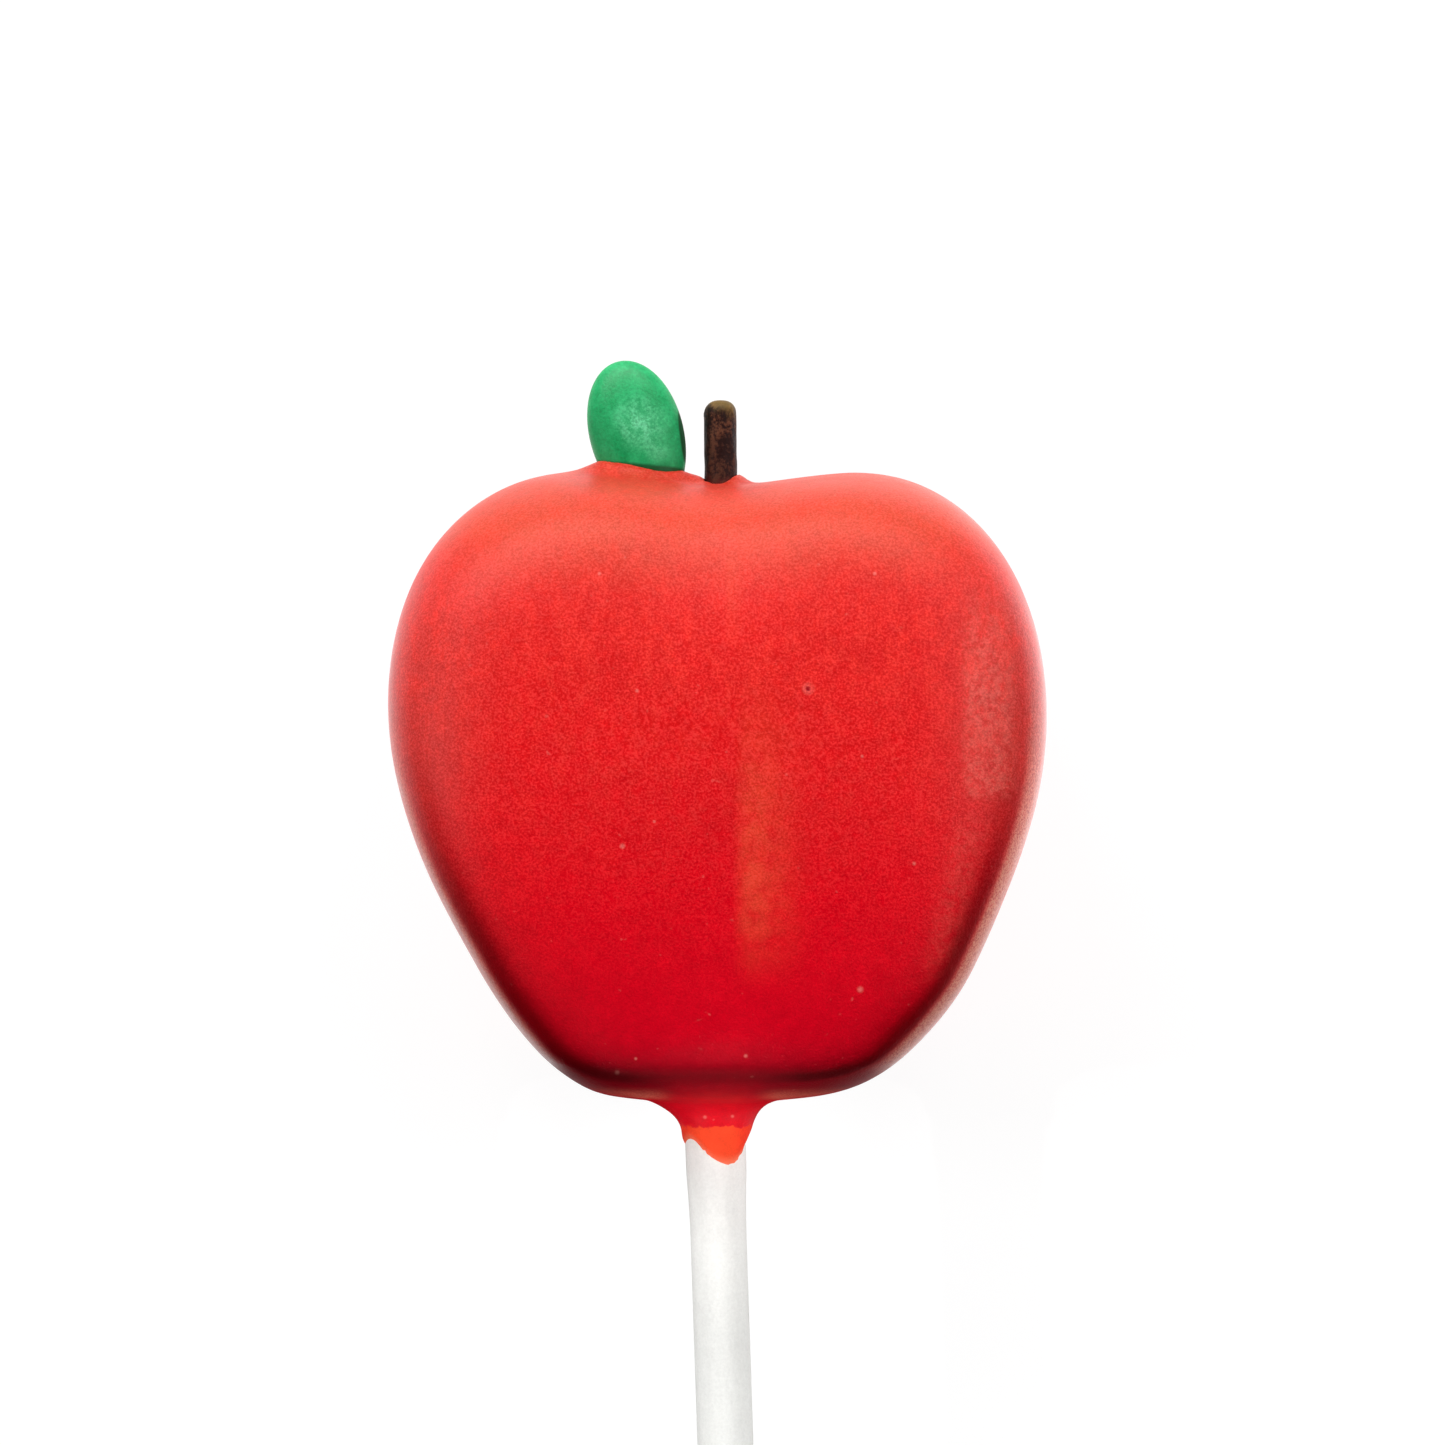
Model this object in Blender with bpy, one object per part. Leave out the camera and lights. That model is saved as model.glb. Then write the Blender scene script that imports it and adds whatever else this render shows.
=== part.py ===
"""Apple-shaped cake pop on a rolled paper stick, lying on its back with the decorated face up.

Frame, in metres: +X is the apple's right, +Y points from the stick to the leaf, +Z is up.
The origin is on the small flat on the apple's back, on which the pop rests, at its middle height.
Four separate solids: the coated cake, the candy leaf, the stem and the stick.

The dimensions below are in millimetres. Across is measured from the middle of the apple, height
from its middle towards the leaf, and depth from the plane of its rim towards the decorated face.
"""

import math

import bmesh
import bpy
from mathutils import Matrix, Vector
from mathutils.geometry import interpolate_bezier

MM = 0.001

# Apple: half its thickness, and how much the flat takes off its back.
HALF_THICKNESS = 12.8
REST_CUT = 0.2
RIM_ABOVE_FLOOR = HALF_THICKNESS - REST_CUT
MERIDIANS = 72

# Outline of the apple. Each knot is a point, the handle before it and the handle after it: the dip
# at the stem, the shoulder, the widest place, the flank, the bend below it, the chin and the neck.
# SIDE_KNOTS is (across, height) seen from the front, FACE_KNOTS (depth, height) seen from the side.
NECK_X = -0.04
NECK_RADIUS = 2.48
NECK_HEIGHT = -25.1
SIDE_KNOTS = (
    ((0.0, 21.1), (0.0, 0.0), (1.6, 0.0)),
    ((10.2, 22.2), (-3.0, 0.0), (7.7, 0.0)),
    ((23.35, 5.5), (0.0, 9.1), (0.0, -6.8)),
    ((17.7, -12.7), (2.45, 4.8), (-1.175, -2.275)),
    ((12.92, -19.15), (1.956, 1.812), (-2.26, -2.094)),
    ((6.3, -22.3), (2.4, 0.06), (-2.4, -0.06)),
    ((NECK_RADIUS, NECK_HEIGHT), (0.0, 1.4), (0.0, 0.0)),
)
FACE_KNOTS = (
    ((0.0, 21.1), (0.0, 0.0), (1.2, 0.0)),
    ((4.2, 21.15), (-1.4, 0.02), (6.0, -0.5)),
    ((HALF_THICKNESS, 2.0), (0.1, 17.8), (0.0, -5.0)),
    ((12.1, -12.0), (0.25, 4.5), (-0.16, -2.8)),
    ((11.62, -18.7), (0.2, 2.3), (-0.12, -1.7)),
    ((4.6, -22.5), (6.0, 0.95), (-1.2, -0.15)),
    ((NECK_RADIUS, NECK_HEIGHT), (0.0, 1.5), (0.0, 0.0)),
)
# Rings between one knot and the next, and how square the cross-section is at each knot, on the
# left and on the right: 2 is an ellipse, 4 has a broad flat face and closely rounded edges.
RINGS = (12, 13, 8, 6, 10, 7)
SQUARE_LEFT = (2.0, 2.6, 4.0, 4.6, 4.4, 2.4, 2.0)
SQUARE_RIGHT = (2.0, 2.6, 4.6, 6.0, 5.4, 2.5, 2.0)
# Meridians stand closer where the face turns into the sides, by this much in radians.
CROWDING = 0.1

# Hand-made unevenness: how far the axis sways across, as (height, sway, spread).
SWAYS = ((-14.5, 0.6, 7.5), (-22.8, -0.56, 1.2), (-2.0, 0.12, 5.0), (16.0, -0.12, 7.0))

# Crease that runs from the dip down over both faces: how far it sinks in and drops, its spread
# across, the heights between which it deepens and the depths between which it starts to drop.
CREASE_SINK = 0.7
CREASE_DROP = 1.3
CREASE_SPREAD = 5.6
CREASE_HEIGHTS = (7.0, 18.0)
CREASE_DEPTHS = (2.0, 10.0)

# Coating that has pooled in the dip and climbed the leaf and the stem, as (height, spread).
POOL_X = -5.2
POOL = (0.6, 2.5)
LEAF_COLLAR = (0.7, 0.8)
LEAF_COLLAR_FRONT = 0.4
STEM_COLLAR = (0.55, 0.7)
COLLAR_FLOOR = 14.0

# Runs of coating down the stick, as (angle from the front to the right, length, spread).
RUN_START = -25.45
RUNS = ((18.0, 1.75, 42.0), (-100.0, 0.8, 34.0), (158.0, 1.2, 38.0), (-150.0, 0.5, 24.0))
# Rings of the coating's lip, as (how much thinner, how much higher) than the neck and the run.
LIP = ((0.0, 0.5), (0.01, 0.25), (0.05, 0.08), (0.12, 0.0))

# Stick: a 4 mm paper stick of four and a half inches, pushed half-way up the cake.
STICK_X = -0.12
STICK_RADIUS = 2.0
STICK_LENGTH = 114.3
STICK_INSIDE = 23.0
STICK_LEAN = math.radians(1.9)
STICK_EDGE = 0.25
STICK_GAP = 0.2
STICK_SIDES = 28
# It is swollen where the wet coating met it, from here down, as (below the run's start, more).
STICK_SWELL = ((-4.0, 0.0), (-2.0, 0.06), (1.6, 0.06), (2.6, 0.05), (3.6, 0.03), (4.6, 0.01))
STICK_ROUND_BELOW = 5.6

# Leaf: a flattened oval candy, a little wider at its tip, with one flat along its lower right edge.
LEAF_CENTRE = (-5.7, 24.8, 0.0)
LEAF_HALF_SIZE = (3.36, 5.5, 1.85)
LEAF_TAPER = 0.04
LEAF_LEAN = math.radians(15.0)
LEAF_FLAT_AT = (-2.3, 24.3, 0.0)
LEAF_FLAT_FACES = (0.87, 0.12, 0.45)
LEAF_BASE_X = -5.4
LEAF_BASE_HALF = (3.2, 1.75)

# Stem: a round-topped candy rod, rolled by hand.
STEM_X = 0.25
STEM_RADIUS = 1.18
STEM_FOOT = 19.6
STEM_LENGTH = 7.75
STEM_TOP_ROUND = 0.95
STEM_FOOT_ROUND = 0.2
STEM_UNEVEN = 0.045
STEM_SIDES = 20

# Slit that is left round the leaf and the stem where they sit in the cake.
SEAT_GAP = 0.25


def clear_scene():
    for obj in list(bpy.data.objects):
        bpy.data.objects.remove(obj, do_unlink=True)


def material(name, colour, roughness):
    """A plain finish with no metal in it."""
    made = bpy.data.materials.new(name)
    made.use_nodes = True
    shader = made.node_tree.nodes["Principled BSDF"]
    shader.inputs["Base Color"].default_value = (*colour, 1.0)
    shader.inputs["Roughness"].default_value = roughness
    shader.inputs["Metallic"].default_value = 0.0
    return made


def bell(distance, spread):
    return math.exp(-((distance / spread) ** 2))


def smoothstep(low, high, value):
    share = min(1.0, max(0.0, (value - low) / (high - low)))
    return share * share * (3.0 - 2.0 * share)


def placed(across, height, depth):
    """The point in the object's frame."""
    return Vector((across, height, RIM_ABOVE_FLOOR + depth)) * MM


def object_from(bm, name, finish=None):
    """The mesh, built in millimetres, as a smooth-shaded object with its faces pointing out."""
    bmesh.ops.remove_doubles(bm, verts=bm.verts, dist=1e-3)
    bmesh.ops.recalc_face_normals(bm, faces=bm.faces)
    bmesh.ops.scale(bm, vec=(MM, MM, MM), verts=bm.verts)
    mesh = bpy.data.meshes.new(name)
    bm.to_mesh(mesh)
    bm.free()
    mesh.shade_smooth()
    mesh.set_sharp_from_angle(angle=math.radians(35.0))
    if finish:
        mesh.materials.append(finish)
    obj = bpy.data.objects.new(name, mesh)
    bpy.context.scene.collection.objects.link(obj)
    return obj


def skin(rings):
    """Joins closed rings of equally many points by quads, and closes both ends."""
    bm = bmesh.new()
    rows = [[bm.verts.new(point) for point in ring] for ring in rings]
    for upper, lower in zip(rows, rows[1:]):
        for i in range(len(upper)):
            j = (i + 1) % len(upper)
            bm.faces.new((upper[i], upper[j], lower[j], lower[i]))
    for row, ring in ((rows[0], rings[0]), (rows[-1], rings[-1])):
        pole = bm.verts.new(sum(ring, Vector()) / len(ring))
        for i in range(len(row)):
            bm.faces.new((row[i], row[(i + 1) % len(row)], pole))
    return bm


def turned(profile, sides):
    """A closed body of revolution about Y, from (radius, height) points between its two poles."""
    bm = bmesh.new()
    points = [(0.0, profile[0][1]), *profile, (0.0, profile[-1][1])]
    verts = [bm.verts.new((radius, height, 0.0)) for radius, height in points]
    edges = [bm.edges.new(pair) for pair in zip(verts, verts[1:])]
    bmesh.ops.spin(
        bm,
        geom=verts + edges,
        cent=(0.0, 0.0, 0.0),
        axis=(0.0, 1.0, 0.0),
        angle=math.tau,
        steps=sides,
        use_merge=True,
    )
    return bm


def cut_flat(bm, point, normal):
    """Takes away what lies beyond a plane, and closes the cut with one face."""
    cut = bmesh.ops.bisect_plane(
        bm,
        geom=bm.verts[:] + bm.edges[:] + bm.faces[:],
        plane_co=point,
        plane_no=normal,
        clear_outer=True,
    )
    rim = [part for part in cut["geom_cut"] if isinstance(part, bmesh.types.BMEdge)]
    bmesh.ops.contextual_create(bm, geom=rim)


def outline(knots):
    """Points along an outline, evenly many in each span between two knots."""
    points = []
    for (start, _, ahead), (end, back, _), count in zip(knots, knots[1:], RINGS):
        first = Vector((*start, 0.0))
        last = Vector((*end, 0.0))
        leave = first + Vector((*ahead, 0.0))
        reach = last + Vector((*back, 0.0))
        points += interpolate_bezier(first, leave, reach, last, count + 1)[1:]
    return points


def squareness(knots):
    """The cross-section's exponent at every ring."""
    values = []
    for low, high, count in zip(knots, knots[1:], RINGS):
        for step in range(1, count + 1):
            values.append(low + (high - low) * smoothstep(0.0, 1.0, step / count))
    return values


def axis_x(height):
    """The apple's own axis sways a little, and meets the neck's."""
    sway = sum(amount * bell(height - middle, spread) for middle, amount, spread in SWAYS)
    in_neck = 1.0 - smoothstep(NECK_HEIGHT + 0.2, NECK_HEIGHT + 2.2, height)
    return sway + (NECK_X - sway) * in_neck


def climb(across, depth):
    """How far the pooled coating stands above the bare dip."""
    leaf_across, leaf_depth = LEAF_BASE_HALF
    reach = math.hypot((across - LEAF_BASE_X) / leaf_across, depth / leaf_depth)
    from_leaf = max(0.0, reach - 1.0) * (leaf_across + leaf_depth) / 2.0
    from_stem = max(0.0, math.hypot(across - STEM_X, depth) - STEM_RADIUS)
    before_leaf = min(1.0, abs(depth) / leaf_depth / max(reach, 0.1))
    pool = POOL[0] * bell(math.hypot(across - POOL_X, depth), POOL[1])
    leaf = (LEAF_COLLAR[0] + LEAF_COLLAR_FRONT * before_leaf) * bell(from_leaf, LEAF_COLLAR[1])
    stem = STEM_COLLAR[0] * bell(from_stem, STEM_COLLAR[1])
    return pool + leaf + stem


def apple_ring(side, face, left_power, right_power):
    """One ring round the apple, from its outline points seen from the front and from the side."""
    ring = []
    for i in range(MERIDIANS):
        angle = math.tau * i / MERIDIANS
        angle += CROWDING * math.sin(4.0 * angle)
        to_side = math.sin(angle)
        to_face = math.cos(angle)
        power = right_power if to_side > 0.0 else left_power
        size = (abs(to_side) ** power + abs(to_face) ** power) ** (-1.0 / power)
        across = side.x * to_side * size
        depth = face.x * to_face * size
        height = side.y * to_side**2 + face.y * to_face**2
        crease = smoothstep(*CREASE_HEIGHTS, height) * bell(across, CREASE_SPREAD)
        height += climb(across, depth) * smoothstep(COLLAR_FLOOR, COLLAR_FLOOR + 4.0, height)
        height -= CREASE_DROP * crease * smoothstep(*CREASE_DEPTHS, abs(depth))
        depth -= math.copysign(min(CREASE_SINK * crease, abs(depth) * 0.2), depth)
        ring.append(Vector((across + axis_x(height), height, depth)))
    return ring


def run_length(angle):
    """How far the coating has run down this side of the stick."""
    total = 0.0
    for middle, length, spread in RUNS:
        apart = (math.degrees(angle) - middle + 180.0) % 360.0 - 180.0
        total += length * math.exp(-((apart / spread) ** 4))
    return total


def neck_ring(x, height, radius, run_share=0.0):
    """A ring about the leaning stick, which follows the runs of coating by the given share."""
    ring = []
    for i in range(MERIDIANS):
        angle = math.tau * i / MERIDIANS
        low = height - run_share * run_length(angle)
        across = x + (RUN_START - low) * math.tan(STICK_LEAN) + radius * math.sin(angle)
        ring.append(Vector((across, low, radius * math.cos(angle))))
    return ring


def coated_cake():
    """The apple, its neck with the runs down the stick, and the stick's socket up its middle."""
    outlines = (outline(SIDE_KNOTS), outline(FACE_KNOTS))
    squares = (squareness(SQUARE_LEFT), squareness(SQUARE_RIGHT))
    rings = [apple_ring(*row) for row in zip(*outlines, *squares)]
    for thinner, higher in LIP:
        rings.append(neck_ring(NECK_X, RUN_START + higher, NECK_RADIUS - thinner, 1.0 - higher))
    socket = STICK_RADIUS + STICK_GAP
    rings.append(neck_ring(STICK_X, RUN_START + 0.1, socket, 1.0))
    rings.append(neck_ring(STICK_X, RUN_START + 1.2, socket))
    rings.append(neck_ring(STICK_X, RUN_START + STICK_INSIDE + STICK_GAP, socket))
    bm = skin(rings)
    cut_flat(bm, (0.0, 0.0, -RIM_ABOVE_FLOOR), (0.0, 0.0, -1.0))
    cake = object_from(bm, "coated_cake", material("red_coating", (0.69, 0.015, 0.02), 0.38))
    cake.location = placed(0.0, 0.0, 0.0)
    return cake


def leaf_body(grown):
    """The leaf's oval about its own centre, larger all round by a given amount."""
    bm = bmesh.new()
    poles_along_y = Matrix.Rotation(math.radians(-90.0), 4, "X")
    bmesh.ops.create_uvsphere(bm, u_segments=32, v_segments=18, radius=1.0, matrix=poles_along_y)
    half = Vector(LEAF_HALF_SIZE) + Vector((grown, grown, grown))
    for vert in bm.verts:
        vert.co.x *= 1.0 + LEAF_TAPER * vert.co.y
    bmesh.ops.scale(bm, vec=half, verts=bm.verts)
    return bm


def stand_leaf(obj):
    obj.location = placed(*LEAF_CENTRE)
    obj.rotation_euler.z = LEAF_LEAN
    return obj


def candy_leaf():
    bm = leaf_body(0.0)
    upright = Matrix.Rotation(-LEAF_LEAN, 3, "Z")
    flat_at = upright @ (Vector(LEAF_FLAT_AT) - Vector(LEAF_CENTRE))
    cut_flat(bm, flat_at, upright @ Vector(LEAF_FLAT_FACES))
    finish = material("green_candy", (0.03, 0.42, 0.15), 0.35)
    return stand_leaf(object_from(bm, "candy_leaf", finish))


def stem_body(grown, uneven):
    """A rod with a rounded foot and a rounder top, larger all round by a given amount."""
    radius = STEM_RADIUS + grown
    low = STEM_FOOT_ROUND - grown
    high = STEM_LENGTH + grown - STEM_TOP_ROUND
    profile = []
    for turn in (0.0, 30.0, 60.0, 90.0):
        angle = math.radians(turn)
        narrower = STEM_FOOT_ROUND * (1.0 - math.sin(angle))
        profile.append((radius - narrower, low - STEM_FOOT_ROUND * math.cos(angle)))
    body_steps = 7
    for step in range(1, body_steps):
        profile.append((radius, low + (high - low) * step / body_steps))
    for turn in (0.0, 15.0, 30.0, 45.0, 60.0, 75.0, 90.0):
        angle = math.radians(turn)
        narrower = STEM_TOP_ROUND * (1.0 - math.cos(angle))
        profile.append((radius - narrower, high + STEM_TOP_ROUND * math.sin(angle)))
    bm = turned(profile, STEM_SIDES)
    for vert in bm.verts:
        angle = math.atan2(vert.co.x, vert.co.z)
        lump = math.sin(3.0 * angle + 0.9 * vert.co.y) * math.sin(1.7 * vert.co.y + 2.0 * angle)
        reach = 1.0 + uneven * lump / STEM_RADIUS
        vert.co.x *= reach
        vert.co.z *= reach
    return bm


def stand_stem(obj):
    obj.location = placed(STEM_X, STEM_FOOT, 0.0)
    return obj


def stem():
    finish = material("brown_stem", (0.075, 0.03, 0.018), 0.5)
    return stand_stem(object_from(stem_body(0.0, STEM_UNEVEN), "stem", finish))


def stick():
    """Paper stick: its own height is measured from where the coating starts to run, upwards."""
    foot = STICK_INSIDE - STICK_LENGTH
    profile = [(STICK_RADIUS - STICK_EDGE, STICK_INSIDE), (STICK_RADIUS, STICK_INSIDE - STICK_EDGE)]
    profile += [(STICK_RADIUS + more, -below) for below, more in STICK_SWELL]
    last = -STICK_ROUND_BELOW
    profile.append((STICK_RADIUS, last))
    length_steps = 6
    for step in range(1, length_steps):
        profile.append((STICK_RADIUS, last + (foot - last) * step / length_steps))
    for turn in (0.0, 30.0, 60.0, 90.0):
        angle = math.radians(turn)
        narrower = STICK_EDGE * (1.0 - math.cos(angle))
        profile.append((STICK_RADIUS - narrower, foot + STICK_EDGE * (1.0 - math.sin(angle))))
    finish = material("white_paper", (0.9, 0.9, 0.87), 0.75)
    obj = object_from(turned(profile, STICK_SIDES), "stick", finish)
    obj.location = placed(STICK_X, RUN_START, 0.0)
    obj.rotation_euler.z = STICK_LEAN
    return obj


def cut_seat(target, cutter):
    """Takes the seat of a decoration out of the cake."""
    cutter.hide_render = True
    cutter.display_type = "WIRE"
    seat = target.modifiers.new(cutter.name, "BOOLEAN")
    seat.operation = "DIFFERENCE"
    seat.solver = "EXACT"
    seat.object = cutter


def main():
    clear_scene()
    cake = coated_cake()
    candy_leaf()
    stem()
    stick()
    cut_seat(cake, stand_leaf(object_from(leaf_body(SEAT_GAP), "leaf_seat")))
    cut_seat(cake, stand_stem(object_from(stem_body(SEAT_GAP, 0.0), "stem_seat")))


main()
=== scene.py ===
"""The look of an apple-shaped cake pop on a paper stick, lying face up on a pale table.

Everything is in metres, in the solids' own frame: +X is the apple's right, +Y points from the
stick to the leaf and +Z is up, out of the decorated face. Small shapes are told in millimetres.
"""

import math
from contextlib import contextmanager
from functools import partial

import bmesh
import bpy
import numpy as np
from bpy.props import FloatProperty, FloatVectorProperty, PointerProperty
from mathutils import Matrix, Vector


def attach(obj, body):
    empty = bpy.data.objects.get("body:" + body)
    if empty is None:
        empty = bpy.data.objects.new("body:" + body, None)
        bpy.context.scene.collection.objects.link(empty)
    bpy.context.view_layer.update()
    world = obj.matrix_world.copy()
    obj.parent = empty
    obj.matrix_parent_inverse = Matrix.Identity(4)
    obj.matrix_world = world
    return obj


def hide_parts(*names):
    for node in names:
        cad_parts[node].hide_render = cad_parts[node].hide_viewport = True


bl_info = {
    "name": "Apple cake pop",
    "version": (1, 0, 0),
    "blender": (4, 5, 0),
    "location": "View3D > Sidebar > Cake pop",
    "description": "Builds an apple-shaped cake pop with a candy leaf and stem on a paper stick",
    "category": "Add Mesh",
}

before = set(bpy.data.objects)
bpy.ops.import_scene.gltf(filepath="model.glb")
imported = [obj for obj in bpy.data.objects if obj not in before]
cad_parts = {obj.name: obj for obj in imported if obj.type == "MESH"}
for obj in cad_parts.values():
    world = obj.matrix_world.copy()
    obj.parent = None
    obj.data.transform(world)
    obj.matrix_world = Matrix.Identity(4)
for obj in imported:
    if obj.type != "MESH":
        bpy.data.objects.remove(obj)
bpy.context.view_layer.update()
ColourProperty = partial(FloatVectorProperty, subtype="COLOR")

MM = 0.001

# Where the other pieces meet the cake, in millimetres and degrees in the solids' frame.
AXIS_HEIGHT = 12.6
STICK_FOOT = (-0.12, -25.45)
STICK_LEAN = 1.9
STICK_SOCKET = 2.25
# Runs of coating down it, as (angle from the front to the right, length, spread).
RUNS = ((19.0, 1.85, 49.0), (-100.0, 0.8, 34.0), (158.0, 1.2, 38.0), (-150.0, 0.5, 24.0))
STEM_AXIS_X = 0.25
STEM_SEAT = 1.43
LEAF_CENTRE = (-5.7, 24.8)
LEAF_HALF = (3.36, 5.5, 1.85)
LEAF_TAPER = 0.04
LEAF_LEAN = 15.0
LEAF_SEAT_GAP = 0.25
# The flat along the leaf's lower right edge: a point on it, and the way it faces.
FLAT_POINT = (-2.3, 24.3)
FLAT_FACING = (0.93, 0.12, 0.22)
# How wide the faces of the leaf and of the stem are, in millimetres.
LEAF_GRID = 0.09
STEM_GRID = 0.12

# On the face: the crease of the groove, the burst bubble, and the pale specks as
# (across, height, radius).
GROOVE_X = 1.5
PINHOLE = (6.3, 6.65)
SPECKS = (
    (9.9, -14.1, 0.32),
    (-6.5, -4.2, 0.28),
    (-5.5, 6.5, 0.2),
    (-8.1, 14.6, 0.2),
    (-4.3, -2.5, 0.17),
    (10.9, 14.6, 0.2),
    (13.6, -5.4, 0.2),
    (10.0, 2.0, 0.17),
    (-6.9, -19.9, 0.26),
    (2.0, -18.7, 0.2),
    (-5.6, -18.9, 0.16),
    (-0.85, -23.65, 0.2),
    (1.1, -23.6, 0.18),
)

# The coating's reds on the way up from the stick, as (height in millimetres, name), within the
# stretch that they share. The darker tip, ridge, shoulder, lower and chin reds are painted
# shade, and the orange cast near the top is a painted haze of highlight.
COLOUR_FOOT = -25.0
COLOUR_STRETCH = 50.0
COLOUR_HEIGHTS = (
    (-20.0, "chin"),
    (-17.5, "lower"),
    (-8.0, "middle"),
    (4.0, "upper"),
    (13.0, "shoulder"),
    (18.0, "ridge"),
    (21.5, "tip"),
)
# Where the coating on the stick becomes a thin film, and how high it climbs beside the stem.
FILM_TOP = -24.4
STEM_FILLET = 0.45


# ----------------------------------------------
# Modelling helpers
# ----------------------------------------------


def bell(distance, spread):
    """1 in the middle, fading to 0 over about twice the spread."""
    return np.exp(-((distance / spread) ** 2))


def ramp(low, high, value):
    """0 at low and before it, 1 at high and after it, and smooth between. Low may be the larger."""
    share = np.clip((value - low) / (high - low), 0.0, 1.0)
    return share * share * (3.0 - 2.0 * share)


def select_only(obj):
    bpy.ops.object.select_all(action="DESELECT")
    obj.select_set(True)
    bpy.context.view_layer.objects.active = obj


@contextmanager
def editing(obj):
    """Edit mode on this object alone, with nothing selected in it."""
    select_only(obj)
    bpy.ops.object.mode_set(mode="EDIT")
    bpy.ops.mesh.select_all(action="DESELECT")
    yield
    bpy.ops.object.mode_set(mode="OBJECT")


def pick(obj, test, kind="FACE"):
    """In edit mode, selects just the faces, edges or points that pass the test."""
    bpy.ops.mesh.select_mode(type=kind)
    bpy.ops.mesh.select_all(action="DESELECT")
    bm = bmesh.from_edit_mesh(obj.data)
    parts = {"FACE": bm.faces, "EDGE": bm.edges, "VERT": bm.verts}[kind]
    chosen = [part for part in parts if test(part)]
    if not chosen:
        raise RuntimeError(f"{obj.name}: there is nothing to select here")
    for part in chosen:
        part.select_set(True)
    bmesh.update_edit_mesh(obj.data)


def finish_with(obj, kind, **settings):
    """Adds a modifier, sets it and applies it."""
    modifier = obj.modifiers.new(kind.title(), kind)
    for name, value in settings.items():
        setattr(modifier, name, value)
    select_only(obj)
    bpy.ops.object.modifier_apply(modifier=modifier.name)


def points_of(obj):
    """The places of its points in millimetres, and their normals, as two arrays."""
    count = len(obj.data.vertices)
    places = np.empty(count * 3, np.float32)
    normals = np.empty(count * 3, np.float32)
    obj.data.vertices.foreach_get("co", places)
    obj.data.vertices.foreach_get("normal", normals)
    return places.reshape(-1, 3).astype(float) / MM, normals.reshape(-1, 3).astype(float)


def move_points(obj, places):
    obj.data.vertices.foreach_set("co", (places * MM).astype(np.float32).ravel())
    obj.data.update()


def new_name(obj, name):
    obj.name = name
    obj.data.name = name
    return obj


def copy_of_node(node, name):
    """A copy of a solid's mesh as a new object, with its loose triangles merged."""
    obj = bpy.data.objects.new(name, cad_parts[node].data.copy())
    bpy.context.scene.collection.objects.link(obj)
    new_name(obj, name)
    with editing(obj):
        bpy.ops.mesh.select_all(action="SELECT")
        bpy.ops.mesh.remove_doubles(threshold=1e-6)
    return obj


def hand_over(obj, node, finish):
    """Gives the piece its finish and lets it stand for its solid."""
    obj.data.materials.clear()
    obj.data.materials.append(finish)
    select_only(obj)
    bpy.ops.object.transform_apply(location=True, rotation=True, scale=True)
    bpy.ops.object.shade_smooth()
    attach(obj, "root")
    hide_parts(node)


# ----------------------------------------------
# Material helpers
# ----------------------------------------------


class Wire:
    """A value that runs through a material. Arithmetic on it adds the nodes that work it out."""

    def __init__(self, recipe, socket):
        self.recipe = recipe
        self.socket = socket

    def _sum(self, operation, first, second):
        return self.recipe.add("ShaderNodeMath", {"operation": operation}, {0: first, 1: second})

    def __add__(self, other):
        return self._sum("ADD", self, other)

    def __radd__(self, other):
        return self._sum("ADD", other, self)

    def __sub__(self, other):
        return self._sum("SUBTRACT", self, other)

    def __rsub__(self, other):
        return self._sum("SUBTRACT", other, self)

    def __mul__(self, other):
        return self._sum("MULTIPLY", self, other)

    def __rmul__(self, other):
        return self._sum("MULTIPLY", other, self)

    def __truediv__(self, other):
        return self._sum("DIVIDE", self, other)

    def larger(self, other):
        return self._sum("MAXIMUM", self, other)

    def ramp(self, low, high, start=0.0, end=1.0):
        """Goes smoothly from start to end while the value goes from low to high."""
        settings = {"interpolation_type": "SMOOTHSTEP"}
        limits = {"From Min": low, "From Max": high, "To Min": start, "To Max": end}
        return self.recipe.add("ShaderNodeMapRange", settings, {"Value": self, **limits})


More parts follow.
